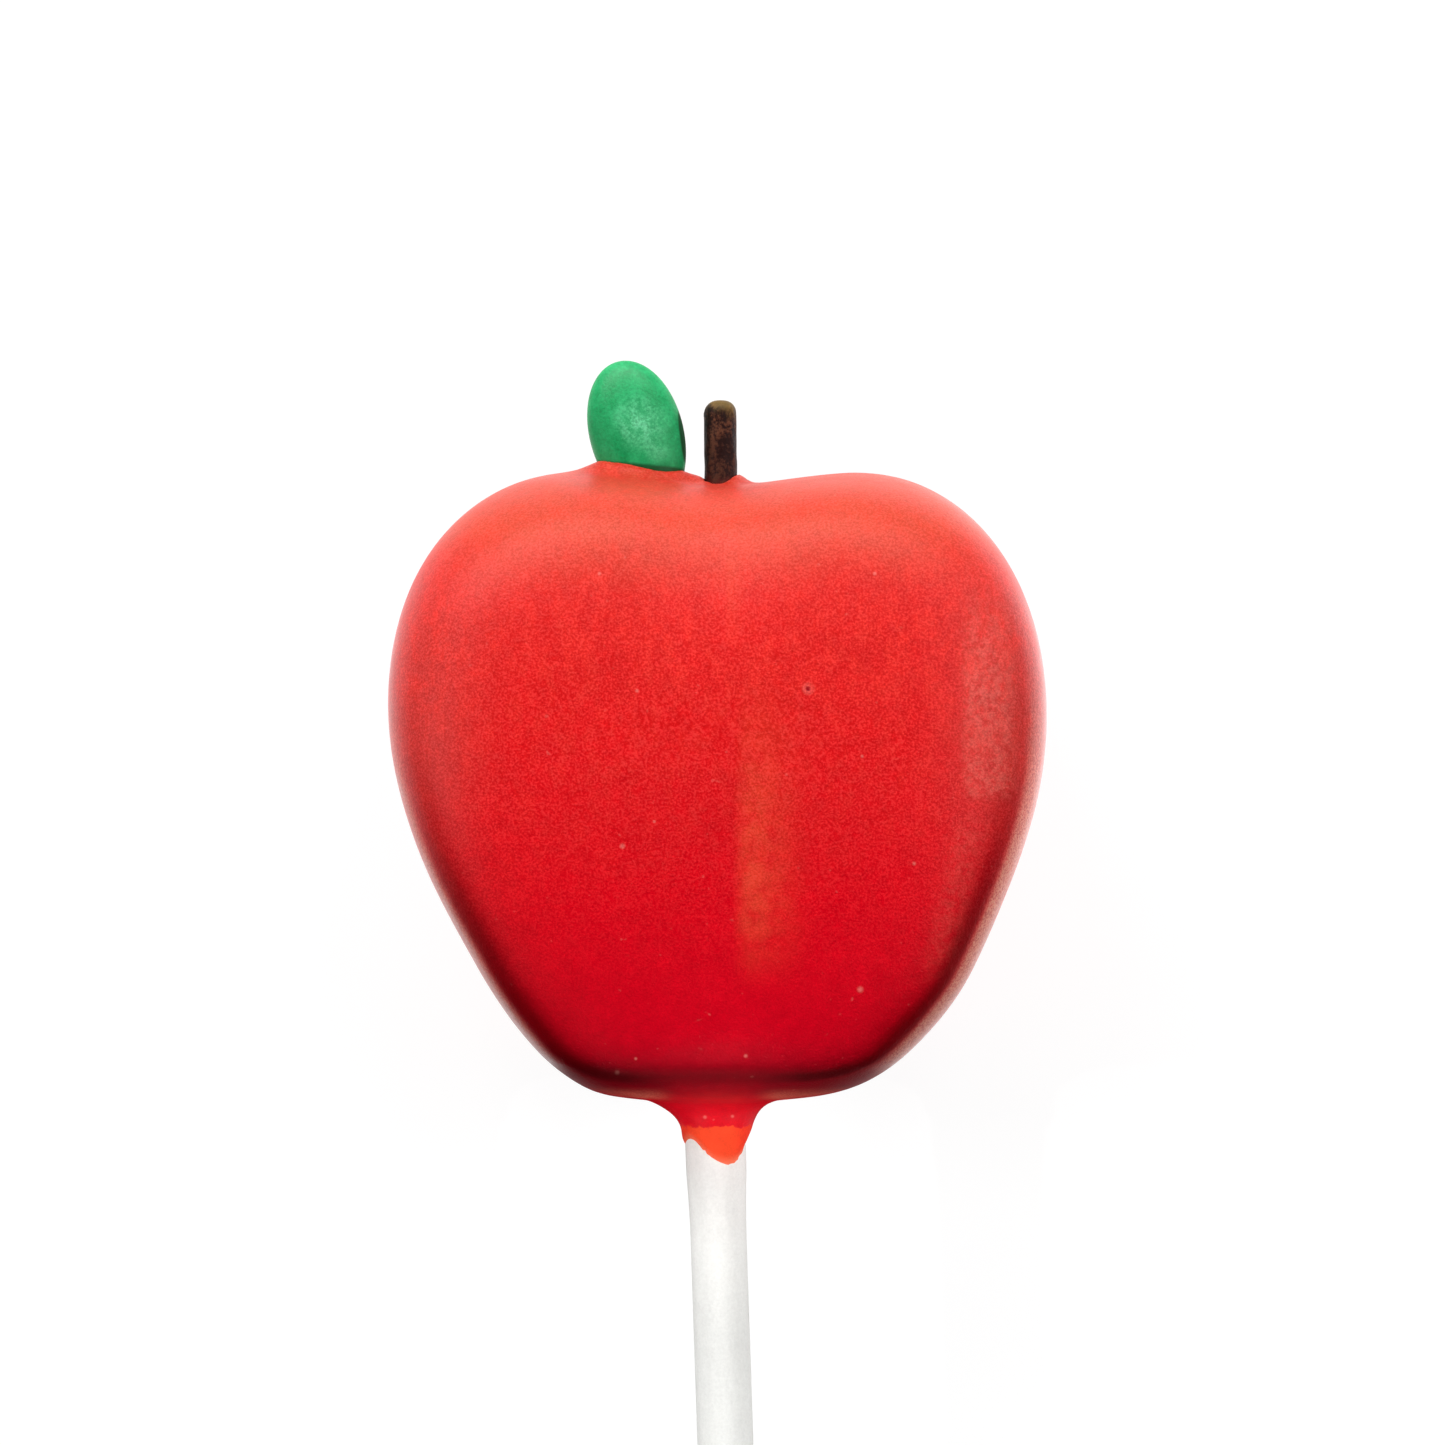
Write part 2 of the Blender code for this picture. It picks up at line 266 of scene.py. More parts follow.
class Recipe:
    """The node tree of one finish."""

    def __init__(self, name):
        self.material = bpy.data.materials.new(name)
        self.material.use_nodes = True
        self.tree = self.material.node_tree
        self.tree.nodes.clear()
        self.place = self.add("ShaderNodeTexCoord", output="Object")
        parts = self.add("ShaderNodeSeparateXYZ", None, {0: self.place}).socket.node
        self.across, self.height, self.depth = (Wire(self, o) * 1000.0 for o in parts.outputs)

    def add(self, kind, settings=None, values=None, output=0):
        """Adds a node, sets it, feeds its sockets and returns one of its outputs."""
        node = self.tree.nodes.new(kind)
        for name, setting in (settings or {}).items():
            if name == "stops":
                self._set_stops(node, setting)
            else:
                setattr(node, name, setting)
        for key, value in (values or {}).items():
            socket = self._socket(node.inputs, key)
            if isinstance(value, Wire):
                self.tree.links.new(value.socket, socket)
            else:
                socket.default_value = value
        return Wire(self, self._socket(node.outputs, output)) if node.outputs else None

    @staticmethod
    def _set_stops(node, stops):
        ramp_stops = node.color_ramp.elements
        while len(ramp_stops) < len(stops):
            ramp_stops.new(1.0)
        for stop, (position, colour) in zip(ramp_stops, stops):
            stop.position = position
            stop.color = colour

    @staticmethod
    def _socket(sockets, key):
        if isinstance(key, int):
            return sockets[key]
        for socket in sockets:
            if socket.identifier == key or socket.name == key:
                return socket
        raise KeyError(key)

    def noise(self, size, detail=2.0, roughness=0.5, distortion=0.0, stretch=(1.0, 1.0, 1.0)):
        """Cloudy noise from 0 to 1, whose largest lumps are about size millimetres across."""
        place = self.place
        if stretch != (1.0, 1.0, 1.0):
            place = self.add("ShaderNodeMapping", None, {"Vector": place, "Scale": stretch})
        values = {
            "Vector": place,
            "Scale": 1.0 / (size * MM),
            "Detail": detail,
            "Roughness": roughness,
            "Distortion": distortion,
        }
        return self.add("ShaderNodeTexNoise", None, values)

    def blend(self, share, first, second):
        """The first colour where share is 0, the second where it is 1."""
        settings = {"data_type": "RGBA"}
        values = {"Factor_Float": share, "A_Color": first, "B_Color": second}
        return self.add("ShaderNodeMix", settings, values, "Result_Color")

    def shade(self, colour, low, high, share):
        """The colour times a grey that goes from low to high as share goes from 0 to 1."""
        grey = self.blend(share, (low, low, low, 1.0), (high, high, high, 1.0))
        settings = {"data_type": "RGBA", "blend_type": "MULTIPLY"}
        values = {"Factor_Float": 1.0, "A_Color": colour, "B_Color": grey}
        return self.add("ShaderNodeMix", settings, values, "Result_Color")

    def spot(self, across, height, radius, soft=0.6):
        """1 inside a small round spot on the face, fading to 0 at its radius."""
        flat = self.add("ShaderNodeCombineXYZ", None, {0: self.across, 1: self.height})
        middle = (across, height, 0.0)
        settings = {"operation": "DISTANCE"}
        distance = self.add("ShaderNodeVectorMath", settings, {0: flat, 1: middle}, "Value")
        return distance.ramp(radius * (1.0 - soft), radius, 1.0, 0.0)

    def bump(self, height, depth_mm):
        """A normal from a height of 0 to 1 that stands for so many millimetres."""
        return self.add("ShaderNodeBump", None, {"Height": height, "Distance": depth_mm * MM})

    def finish(self, **values):
        """Adds the shader, whose sockets are given by name with _ for a space."""
        values = {name.replace("_", " "): value for name, value in values.items()}
        shader = self.add("ShaderNodeBsdfPrincipled", None, values)
        self.add("ShaderNodeOutputMaterial", None, {"Surface": shader})
        return self.material


def opaque(colour):
    return (*colour, 1.0)


# ----------------------------------------------
# Coated cake
# ----------------------------------------------


class CakePopCoating(bpy.types.PropertyGroup):
    """The red coating and the cake in it."""

    grid: FloatProperty(
        name="Grid",
        description="Width of the coating's faces",
        default=0.00029,
        unit="LENGTH",
    )
    groove: FloatProperty(
        name="Groove",
        description="Depth of the shallow groove down the face",
        default=0.00022,
        unit="LENGTH",
    )
    pinhole: FloatProperty(
        name="Pinhole",
        description="Radius of the burst bubble on the face",
        default=0.00022,
        unit="LENGTH",
    )
    peel: FloatProperty(
        name="Peel",
        description="Height of the coating's orange-peel waves",
        default=0.00004,
        unit="LENGTH",
    )
    # The tip, ridge and shoulder reds are darker as painted shade and oranger as a painted haze of
    # highlight.
    tip_colour: ColourProperty(
        name="Tip colour",
        description="Colour of the coating round the leaf and the stem",
        default=(0.61, 0.051, 0.0205),
    )
    ridge_colour: ColourProperty(
        name="Ridge colour",
        description="Colour of the coating on the ridge above the face",
        default=(0.66, 0.051, 0.0205),
    )
    shoulder_colour: ColourProperty(
        name="Shoulder colour",
        description="Colour of the coating on the shoulders",
        default=(0.794, 0.0166, 0.0144),
    )
    upper_colour: ColourProperty(
        name="Upper colour",
        description="Colour of the coating on the upper half of the face",
        default=(0.92, 0.007, 0.010),
    )
    middle_colour: ColourProperty(
        name="Middle colour",
        description="Colour of the coating below the middle of the face",
        default=(0.93, 0.0, 0.011),
    )
    # The lower and chin reds are darker as painted shade, where the face turns down away from the
    # lamps.
    lower_colour: ColourProperty(
        name="Lower colour",
        description="Colour of the coating above the chin",
        default=(0.75, 0.0, 0.013),
    )
    chin_colour: ColourProperty(
        name="Chin colour",
        description="Colour of the thicker coating round the chin",
        default=(0.39, 0.0, 0.010),
    )
    neck_colour: ColourProperty(
        name="Neck colour",
        description="Colour of the coating on the neck",
        default=(0.8, 0.0, 0.012),
    )
    # Painted shade: the rounded sides darker than the face.
    flank_shade_colour: ColourProperty(
        name="Flank colour",
        description="Colour of the duller coating on the sides",
        default=(0.70, 0.042, 0.034),
    )
    # Painted highlight: the lamps' reflection down the right side, broken by the pits.
    highlight_band_colour: ColourProperty(
        name="Band colour",
        description="Colour between the pits of the band down the right side",
        default=(1.0, 0.16, 0.12),
    )
    # Painted shade round the leaf and the stem.
    collar_shade_colour: ColourProperty(
        name="Collar colour",
        description="Colour of the blotches round the leaf and the stem",
        default=(0.50, 0.02, 0.008),
    )
    # Painted light on the groove's right wall.
    lit_streak_colour: ColourProperty(
        name="Streak colour",
        description="Colour of the pale streak down the groove",
        default=(1.0, 0.14, 0.055),
    )
    warm_colour: ColourProperty(
        name="Warm colour",
        description="Colour of the warmer mottling all over",
        default=(1.0, 0.035, 0.024),
    )
    dust_colour: ColourProperty(
        name="Dust colour",
        description="Colour of the fine pale grain all over",
        default=(1.0, 0.4, 0.38),
    )
    speck_colour: ColourProperty(
        name="Speck colour",
        description="Colour of the pale specks",
        default=(1.0, 0.3, 0.25),
    )
    # Painted reflection: the pale rim where the coating turns away, on the lower edges and under
    # the chin.
    rim_reflection_colour: ColourProperty(
        name="Bloom colour",
        description="Colour of the fat bloom on the lower edges",
        default=(1.0, 0.33, 0.21),
    )
    film_colour: ColourProperty(
        name="Film colour",
        description="Colour of the thin coating on the stick",
        default=(1.0, 0.072, 0.02),
    )
    film_edge_colour: ColourProperty(
        name="Film edge colour",
        description="Colour of that film round the stick's sides",
        default=(0.95, 0.04, 0.013),
    )
    # Painted highlight along the film's lower edge.
    fringe_highlight_colour: ColourProperty(
        name="Fringe colour",
        description="Colour of that film along its lower edge",
        default=(1.0, 0.5, 0.28),
    )


def leaf_axes(place):
    """A place in millimetres along the leaf's own axes, from its centre."""
    moved = Vector(place) / MM - Vector((*LEAF_CENTRE, AXIS_HEIGHT))
    return Matrix.Rotation(math.radians(-LEAF_LEAN), 3, "Z") @ moved


def leaf_reach(place, grown):
    """1 on the surface of the leaf, larger by the given amount all round, and less inside."""
    own = leaf_axes(place)
    half_width, half_length, half_thickness = (half + grown for half in LEAF_HALF)
    taper = 1.0 + LEAF_TAPER * own.y / half_length
    return math.sqrt(
        (own.x / half_width / taper) ** 2
        + (own.y / half_length) ** 2
        + (own.z / half_thickness) ** 2
    )


def stick_axis_x(height):
    """How far to the right the stick's axis is at a height, or at each of an array of heights."""
    return STICK_FOOT[0] + (STICK_FOOT[1] - height) * math.tan(math.radians(STICK_LEAN))


def from_stick(place):
    """Distance from the stick's axis, in millimetres."""
    across, height, depth = Vector(place) / MM
    return math.hypot(across - stick_axis_x(height), depth - AXIS_HEIGHT)


def from_stem(place):
    """Distance from the stem's axis, in millimetres."""
    across, _, depth = Vector(place) / MM
    return math.hypot(across - STEM_AXIS_X, depth - AXIS_HEIGHT)


def in_leaf_seat(face):
    return leaf_reach(face.calc_center_median(), LEAF_SEAT_GAP) < 1.004


def in_stem_seat(face):
    middle = face.calc_center_median()
    return middle.y > 19.2 * MM and from_stem(middle) < STEM_SEAT - 0.005


def in_socket(face):
    middle = face.calc_center_median()
    return -28.0 * MM < middle.y < 0.0 and from_stick(middle) < STICK_SOCKET


def rim_of_seat(by_stem):
    """A test for the open edges that the stem's seat left, or those of the leaf's."""

    def on_rim(edge):
        middle = (edge.verts[0].co + edge.verts[1].co) / 2.0
        near_stem = from_stem(middle) < 2.0
        return edge.is_boundary and middle.y > 15.0 * MM and near_stem == by_stem

    return on_rim


def close_seats(coat):
    """Takes out the seats' walls and draws the coating in until it touches what stands in them."""
    leaf_middle = Vector((*LEAF_CENTRE, AXIS_HEIGHT)) * MM
    stem_middle = Vector((STEM_AXIS_X, 21.0, AXIS_HEIGHT)) * MM
    drawn_in = (
        (False, leaf_middle, (0.91, 0.94, 0.85)),
        (True, stem_middle, (0.77, 1.0, 0.77)),
    )
    with editing(coat):
        for inside in (in_leaf_seat, in_stem_seat, in_socket):
            pick(coat, inside)
            bpy.ops.mesh.delete(type="FACE")
        for by_stem, middle, share in drawn_in:
            pick(coat, rim_of_seat(by_stem), "EDGE")
            bpy.ops.mesh.extrude_region_move()
            bpy.ops.transform.resize(value=share, center_override=middle)
            bpy.ops.mesh.edge_face_add()
        pick(coat, lambda edge: edge.is_boundary, "EDGE")
        bpy.ops.mesh.edge_face_add()
        bpy.ops.mesh.select_all(action="SELECT")
        bpy.ops.mesh.quads_convert_to_tris()
        bpy.ops.mesh.tris_convert_to_quads(
            face_threshold=math.radians(40.0),
            shape_threshold=math.radians(40.0),
        )


def groove_depth(places):
    """How deep the groove down the face is, from 0 to 1. Its right side is the steeper one."""
    across = places[:, 0] - GROOVE_X
    left = bell(np.minimum(across, 0.0), 6.0)
    right = np.exp(-np.maximum(across, 0.0) / 2.6)
    ends = ramp(-20.5, -11.0, places[:, 1]) * (1.0 - ramp(-7.0, 7.0, places[:, 1]))
    return left * right * ends


def across_stick(places):
    """Where the stick's axis is level with each point, and how far each point is from there."""
    across = stick_axis_x(places[:, 1])
    middle = np.column_stack((across, np.full(len(places), AXIS_HEIGHT)))
    return middle, places[:, [0, 2]] - middle


def above_lip(places):
    """How far each point is above the lower edge of the coating that ran down the stick."""
    _, apart = across_stick(places)
    angle = np.degrees(np.arctan2(apart[:, 0], apart[:, 1]))
    length = np.zeros(len(places))
    for middle, run, spread in RUNS:
        turn = (angle - middle + 180.0) % 360.0 - 180.0
        length += run * np.exp(-(np.abs(turn / spread) ** 2.5))
    return places[:, 1] - STICK_FOOT[1] + length


def draw_lip(coat):
    """Refines the coating on the stick and draws its lower edge onto an even line."""

    def near_lip(face):
        middle = face.calc_center_median()
        return middle.y < -23.4 * MM and from_stick(middle) < 4.5

    with editing(coat):
        pick(coat, near_lip)
        bpy.ops.mesh.subdivide(number_cuts=1)
    for _ in range(2):
        places, normals = points_of(coat)
        above = above_lip(places)
        underside = ramp(0.3, 0.8, -normals[:, 1]) * (np.abs(above) < 0.8)
        places[:, 1] -= above * underside
        middle, apart = across_stick(places)
        thinner = 1.0 - 0.06 * ramp(1.0, 0.0, above)
        places[:, [0, 2]] = middle + apart * thinner[:, None]
        move_points(coat, places)
        with editing(coat):
            pick(coat, near_lip)
            bpy.ops.mesh.vertices_smooth(factor=0.5, repeat=2)


def climb_by_stem(places, normals):
    """How far the coating climbs round the right side of the stem, in millimetres."""
    from_axis = np.hypot(places[:, 0] - STEM_AXIS_X, places[:, 2] - AXIS_HEIGHT)
    near = bell(np.maximum(from_axis - 1.2, 0.0), 0.7) * ramp(0.2, 0.6, normals[:, 1])
    return STEM_FILLET * near * ramp(0.2, 1.6, places[:, 0]) * (places[:, 1] > 19.0)


def work_surface(coat, settings):
    """Draws up the fillet, presses in the groove and notes what the finish asks of each point."""
    places, normals = points_of(coat)
    places[:, 1] += climb_by_stem(places, normals)
    on_face = ramp(0.35, 0.8, normals[:, 2])
    lift = -settings.groove / MM * groove_depth(places) * on_face
    move_points(coat, places + normals * lift[:, None])
    notes = {
        "above_lip": above_lip(places),
        "slant": 1.0 - np.clip(normals[:, 2], 0.0, 1.0),
    }
    for name, values in notes.items():
        note = coat.data.attributes.new(name, "FLOAT", "POINT")
        note.data.foreach_set("value", values.astype(np.float32))


class CoatingRecipe(Recipe):
    """The coating's node tree, with what several of its marks share."""

    def __init__(self, settings):
        super().__init__("candy_coating")
        self.settings = settings
        self.patches = self.noise(2.2, detail=3.0)
        self.mottle = self.noise(0.8, detail=2.0)
        self.grain = self.noise(0.16, detail=2.0, roughness=0.7)
        # The squares of how far to a side a point is from the middle, and from the stick.
        self.off_middle = self.across * self.across
        self.off_stick = (self.across - STICK_FOOT[0]) * (self.across - STICK_FOOT[0])

    def note(self, name):
        """What was noted of each point under this name when the surface was worked."""
        return self.add("ShaderNodeAttribute", {"attribute_name": name}, output="Fac")

    def named(self, name):
        """One of the coating's colours."""
        return opaque(getattr(self.settings, f"{name}_colour"))

    def tint(self, colour, share, name):
        """The colour, with so much of one of the coating's own colours over it."""
        return self.blend(share, colour, self.named(name))


def reds(coat):
    """The coating's red, changing on the way up partly as painted light and shade, and the brighter
    neck.
    """
    height = coat.height
    cloud = coat.noise(9.0, detail=3.0)
    wander = (cloud - 0.5) * 4.0 * height.ramp(-20.0, -10.0, 0.15, 1.0)
    up = (height + wander - COLOUR_FOOT) / COLOUR_STRETCH
    stops = [((at - COLOUR_FOOT) / COLOUR_STRETCH, coat.named(name)) for at, name in COLOUR_HEIGHTS]
    colour = coat.add("ShaderNodeValToRGB", {"stops": stops}, {0: up})
    neck = coat.off_stick.ramp(4.0, 16.0, 1.0, 0.0) * height.ramp(-23.2, -19.6, 1.0, 0.0)
    neck = neck.larger(height.ramp(-22.2, -21.0, 1.0, 0.0))
    return coat.tint(colour, neck, "neck")


def face_marks(coat, colour):
    """Adds painted light down the groove, the pale specks and the burst bubble, its pit painted
    shade.
    """
    across, height = coat.across, coat.height
    ragged = coat.noise(1.4, detail=3.0)
    # The streak is painted light on the right wall of the groove.
    lit_streak = across.ramp(GROOVE_X - 0.6, GROOVE_X + 0.9)
    lit_streak = lit_streak * across.ramp(GROOVE_X, GROOVE_X + 5.5, 1.0, 0.0)
    lit_streak = lit_streak * height.ramp(-14.5, -7.5) * height.ramp(-5.0, 11.0, 1.0, 0.0)
    upper = coat.spot(1.3, 13.6, 4.2, soft=1.0)
    upper = upper * across.ramp(0.5, 0.9) * across.ramp(1.0, 2.2, 1.0, 0.0)
    lit_streak = (lit_streak * 0.4 + upper * 0.12) * ragged.ramp(0.3, 0.6, 0.4, 1.1)
    colour = coat.tint(colour, lit_streak, "lit_streak")

    specks = coat.noise(0.5, detail=1.0).ramp(0.73, 0.83, 0.0, 0.2)
    for place in SPECKS:
        specks = specks.larger(coat.spot(*place, soft=0.9) * 0.5)
    pinhole = coat.settings.pinhole / MM
    specks = specks.larger(coat.spot(*PINHOLE, pinhole * 2.6, soft=0.5) * 0.22)
    colour = coat.tint(colour, specks * height.ramp(FILM_TOP, FILM_TOP + 0.2), "speck")
    # The pit of the burst bubble is painted shade, in the chin's red.
    hole = coat.spot(*PINHOLE, pinhole, soft=0.5)
    return coat.tint(colour, hole * 0.95, "chin")


def side_marks(coat, colour):
    """Paints shade on the rounded sides, and two painted highlight bands down the right one."""
    across, height = coat.across, coat.height
    # Painted shade on the rounded sides.
    flank_shade = height.ramp(-6.0, 4.0) * height.ramp(13.0, 19.0, 1.0, 0.0)
    flank_shade = flank_shade * coat.off_middle.ramp(170.0, 400.0)
    colour = coat.tint(colour, flank_shade * 0.7, "flank_shade")

    # Painted highlights: two bands down the right side, where the right-hand lamps reflect.
    highlight_band = across.ramp(16.6, 17.5) * across.ramp(19.8, 21.2, 1.0, 0.0)
    highlight_band = highlight_band * height.ramp(-1.3, -0.2) * height.ramp(7.0, 16.0, 1.0, 0.0)
    # The lower one is fainter and follows the outline.
    leaning = across - height * 0.2
    lower = leaning.ramp(16.0, 18.0) * leaning.ramp(18.3, 20.0, 1.0, 0.0)
    lower = lower * height.ramp(-15.0, -11.0) * height.ramp(-3.5, -1.5, 1.0, 0.0)
    pits = coat.noise(0.6, detail=2.0, roughness=0.65)
    highlight_band = highlight_band.larger(lower * 0.35) * pits.ramp(0.36, 0.6, 0.15, 1.0)
    return coat.tint(colour, highlight_band * 0.5, "highlight_band")


def collar_shade(coat, colour):
    """Adds painted shade round the leaf and the stem, broken into blotches."""
    from_tip = (coat.across + 3.2) * (coat.across + 3.2)
    ring = coat.height.ramp(19.3, 21.6) * from_tip.ramp(30.0, 60.0, 1.0, 0.0)
    return coat.tint(colour, ring * coat.mottle.ramp(0.3, 0.6, 0.2, 0.8), "collar_shade")


def lower_edges(coat, colour):
    """Paints shade on the lower edges of the face, and a pale painted reflection on the sides
    below.
    """
    height, depth = coat.height, coat.depth
    slant = coat.note("slant") * coat.across.ramp(-12.0, 12.0, 0.6, 1.0)
    low = height.ramp(-12.0, 4.0, 1.0, 0.0) * height.ramp(-22.3, -20.0) * depth.ramp(18.5, 21.0)
    low = low * coat.off_stick.ramp(4.0, 40.0, 0.3, 1.0)
    # Painted shade along the lower edges of the face.
    edge_shade = slant.ramp(0.05, 0.19) * slant.ramp(0.26, 0.39, 1.0, 0.0) * low
    colour = coat.shade(colour, 1.0, 0.46, edge_shade)

    # A pale painted reflection on the steep sides and under the chin.
    sides = coat.off_middle.ramp(100.0, 180.0) * depth.ramp(22.4, 23.4, 1.0, 0.0)
    rim_reflection = slant.ramp(0.28, 0.45) * sides * height.ramp(-6.0, 9.0, 0.8, 0.0)
    beneath = height.ramp(-22.4, -20.9, 0.8, 0.0) * coat.off_stick.ramp(6.0, 22.0)
    ragged = (coat.noise(2.0, detail=4.0, roughness=0.6) - 0.5) * 3.0
    rim_reflection = rim_reflection.larger(beneath) * (depth + ragged).ramp(17.5, 21.0)
    return coat.tint(colour, rim_reflection * coat.grain.ramp(0.38, 0.6, 0.45, 1.15), "rim_reflection")


def film_on_stick(coat, colour, film):
    """Adds the thin film on the stick, with a painted highlight along its lower edge."""
    film_colour = coat.tint(coat.named("film"), coat.off_stick.ramp(1.0, 5.0), "film_edge")
    above = coat.note("above_lip")
    fringe_highlight = above.ramp(0.0, 0.22, 0.35, 0.0) + above.ramp(0.1, 1.0, 0.3, 0.0)
    return coat.blend(film, colour, coat.tint(film_colour, fringe_highlight, "fringe_highlight"))


def mottling(coat, colour):
    """Adds fine mottling all over, fainter on the chin and the ridge."""
    height = coat.height
    warm = coat.noise(1.5, detail=4.0, roughness=0.65, stretch=(1.5, 0.8, 1.0)).ramp(0.42, 0.66)
    warm = warm * height.ramp(-13.0, 16.0, 0.0, 0.6) * height.ramp(9.0, 17.0, 1.0, 0.33)
    colour = coat.tint(colour, warm, "warm")
    colour = coat.shade(colour, 0.9, 1.08, coat.patches)
    colour = coat.shade(colour, 0.86, 1.14, coat.mottle)
    dust = coat.grain.ramp(0.43, 0.6) * height.ramp(-18.0, 3.0, 0.0, 0.06)
    colour = coat.tint(colour, dust, "dust")
    fine = height.ramp(-19.0, -5.0, 0.4, 1.0) * height.ramp(8.0, 16.0, 1.0, 0.75)
    return coat.shade(colour, 0.56, 1.42, (coat.grain - 0.5) * fine + 0.5)


def coating_finish(settings):
    coat = CoatingRecipe(settings)
    colour = reds(coat)
    for marks in (face_marks, side_marks, collar_shade, lower_edges):
        colour = marks(coat, colour)
    bubbly = coat.height + (coat.noise(0.45, detail=1.0) - 0.5) * 0.7
    film = bubbly.ramp(FILM_TOP - 0.1, FILM_TOP + 0.1, 1.0, 0.0)
    colour = mottling(coat, film_on_stick(coat, colour, film))

    roughness = coat.patches.ramp(0.2, 0.8, 0.3, 0.35) + coat.height.ramp(10.0, 16.0) * 0.1
    roughness = roughness.larger(film * 0.8).larger(coat.height.ramp(-20.5, -18.0, 0.5, 0.0))
    peel = coat.noise(0.9, detail=1.0)
    return coat.finish(
        Base_Color=colour,
        Roughness=roughness,
        Specular_IOR_Level=0.3,
        Specular_Tint=(1.0, 0.6, 0.55, 1.0),
        Normal=coat.bump(peel * 0.5 + coat.grain * 0.7, settings.peel / MM),
    )


class CAKEPOP_OT_coated_cake(bpy.types.Operator):
    """Build the coated cake: close its seats, round it off and work its surface"""

    bl_idname = "cakepop.coated_cake"
    bl_label = "Coated cake"

    def execute(self, context):
        settings = context.scene.cake_pop_coating
        coat = copy_of_node("coated_cake", "apple_coating")
        close_seats(coat)
        finish_with(coat, "SUBSURF", levels=2, render_levels=2)
        finish_with(coat, "REMESH", mode="VOXEL", voxel_size=settings.grid)
        finish_with(coat, "SMOOTH", factor=0.5, iterations=4)
        draw_lip(coat)
        work_surface(coat, settings)
        hand_over(coat, "coated_cake", coating_finish(settings))
        return {"FINISHED"}


# ----------------------------------------------
# Leaf
# ----------------------------------------------


class CakePopLeaf(bpy.types.PropertyGroup):
    """The green candy leaf."""

    half_size: FloatVectorProperty(
        name="Half size",
        description="Half the leaf's width, length and thickness",
        default=[half * MM for half in LEAF_HALF],
        subtype="XYZ_LENGTH",
    )
    taper: FloatProperty(
        name="Taper",
        description="How much wider the leaf is towards its tip",
        default=LEAF_TAPER,
    )
    lean: FloatProperty(
        name="Lean",
        description="How far the leaf leans to the left",
        default=math.radians(LEAF_LEAN),
        subtype="ANGLE",
    )
    colour: ColourProperty(
        name="Colour",
        description="Colour of the candy shell",
        default=(0.016, 0.44, 0.145),
    )
    # Painted highlight in the middle of the shell.
    highlight_colour: ColourProperty(
        name="Pale colour",
        description="Colour where the shell is thin",
        default=(0.15, 0.66, 0.34),
    )
    deep_colour: ColourProperty(
        name="Deep colour",
        description="Colour where the shell is thick",
        default=(0.002, 0.33, 0.095),
    )
    # Painted shade on the flat, and a painted contact shadow at the coating.
    cut_shade_colour: ColourProperty(
        name="Cut colour",
        description="Colour of the flat and of the line at the coating",
        default=(0.001, 0.075, 0.018),
    )


def leaf_finish(settings):
    recipe = Recipe("candy_shell")
    across, height = recipe.across, recipe.height
    blotches = recipe.noise(2.0, detail=3.0, roughness=0.6, distortion=0.5)
    streaks = recipe.noise(0.9, detail=2.5, stretch=(1.2, 0.8, 1.0))
    grain = recipe.noise(0.2, detail=2.0, roughness=0.7)

    colour = recipe.blend(
        (blotches * 0.6 + streaks * 0.4).ramp(0.38, 0.6),
        opaque(settings.deep_colour),
        opaque(settings.colour),
    )
    # A painted highlight in the middle of the shell, broken up by the streaks.
    thin = recipe.spot(-5.5, 25.6, 2.6, soft=1.0) + recipe.spot(-4.3, 23.7, 1.3, soft=1.0) * 0.5
    thin = thin * (streaks * 0.6 + grain * 0.4).ramp(0.38, 0.62, 0.25, 1.0)
    colour = recipe.blend(thin, colour, opaque(settings.highlight_colour))
    deep = recipe.spot(-7.4, 28.5, 1.3, soft=1.0) + recipe.spot(-8.6, 25.2, 1.9, soft=1.0)
    colour = recipe.blend(deep * 0.8, colour, opaque(settings.deep_colour))
    colour = recipe.shade(colour, 0.55, 1.45, grain)

    # The flat is painted shade, and the line where the coating holds the leaf a painted contact
    # shadow.
    beyond_flat = (across - FLAT_POINT[0]) * FLAT_FACING[0]
    beyond_flat = beyond_flat + (height - FLAT_POINT[1]) * FLAT_FACING[1]
    beyond_flat = beyond_flat + (recipe.depth - AXIS_HEIGHT) * FLAT_FACING[2]
    above_coat = height + (across + 5.5) * 0.09 - 22.75
    flat = beyond_flat.ramp(-0.14, -0.04)
    colour = recipe.blend(
        flat.larger(above_coat.ramp(-0.15, 0.1, 0.9, 0.0)),
        colour,
        opaque(settings.cut_shade_colour),
    )
    return recipe.finish(
        Base_Color=colour,
        Roughness=blotches.ramp(0.3, 0.7, 0.42, 0.52) + flat * 0.35,
        Specular_IOR_Level=0.35,
        Normal=recipe.bump(streaks * 0.5 + grain * 0.5, 0.04),
    )


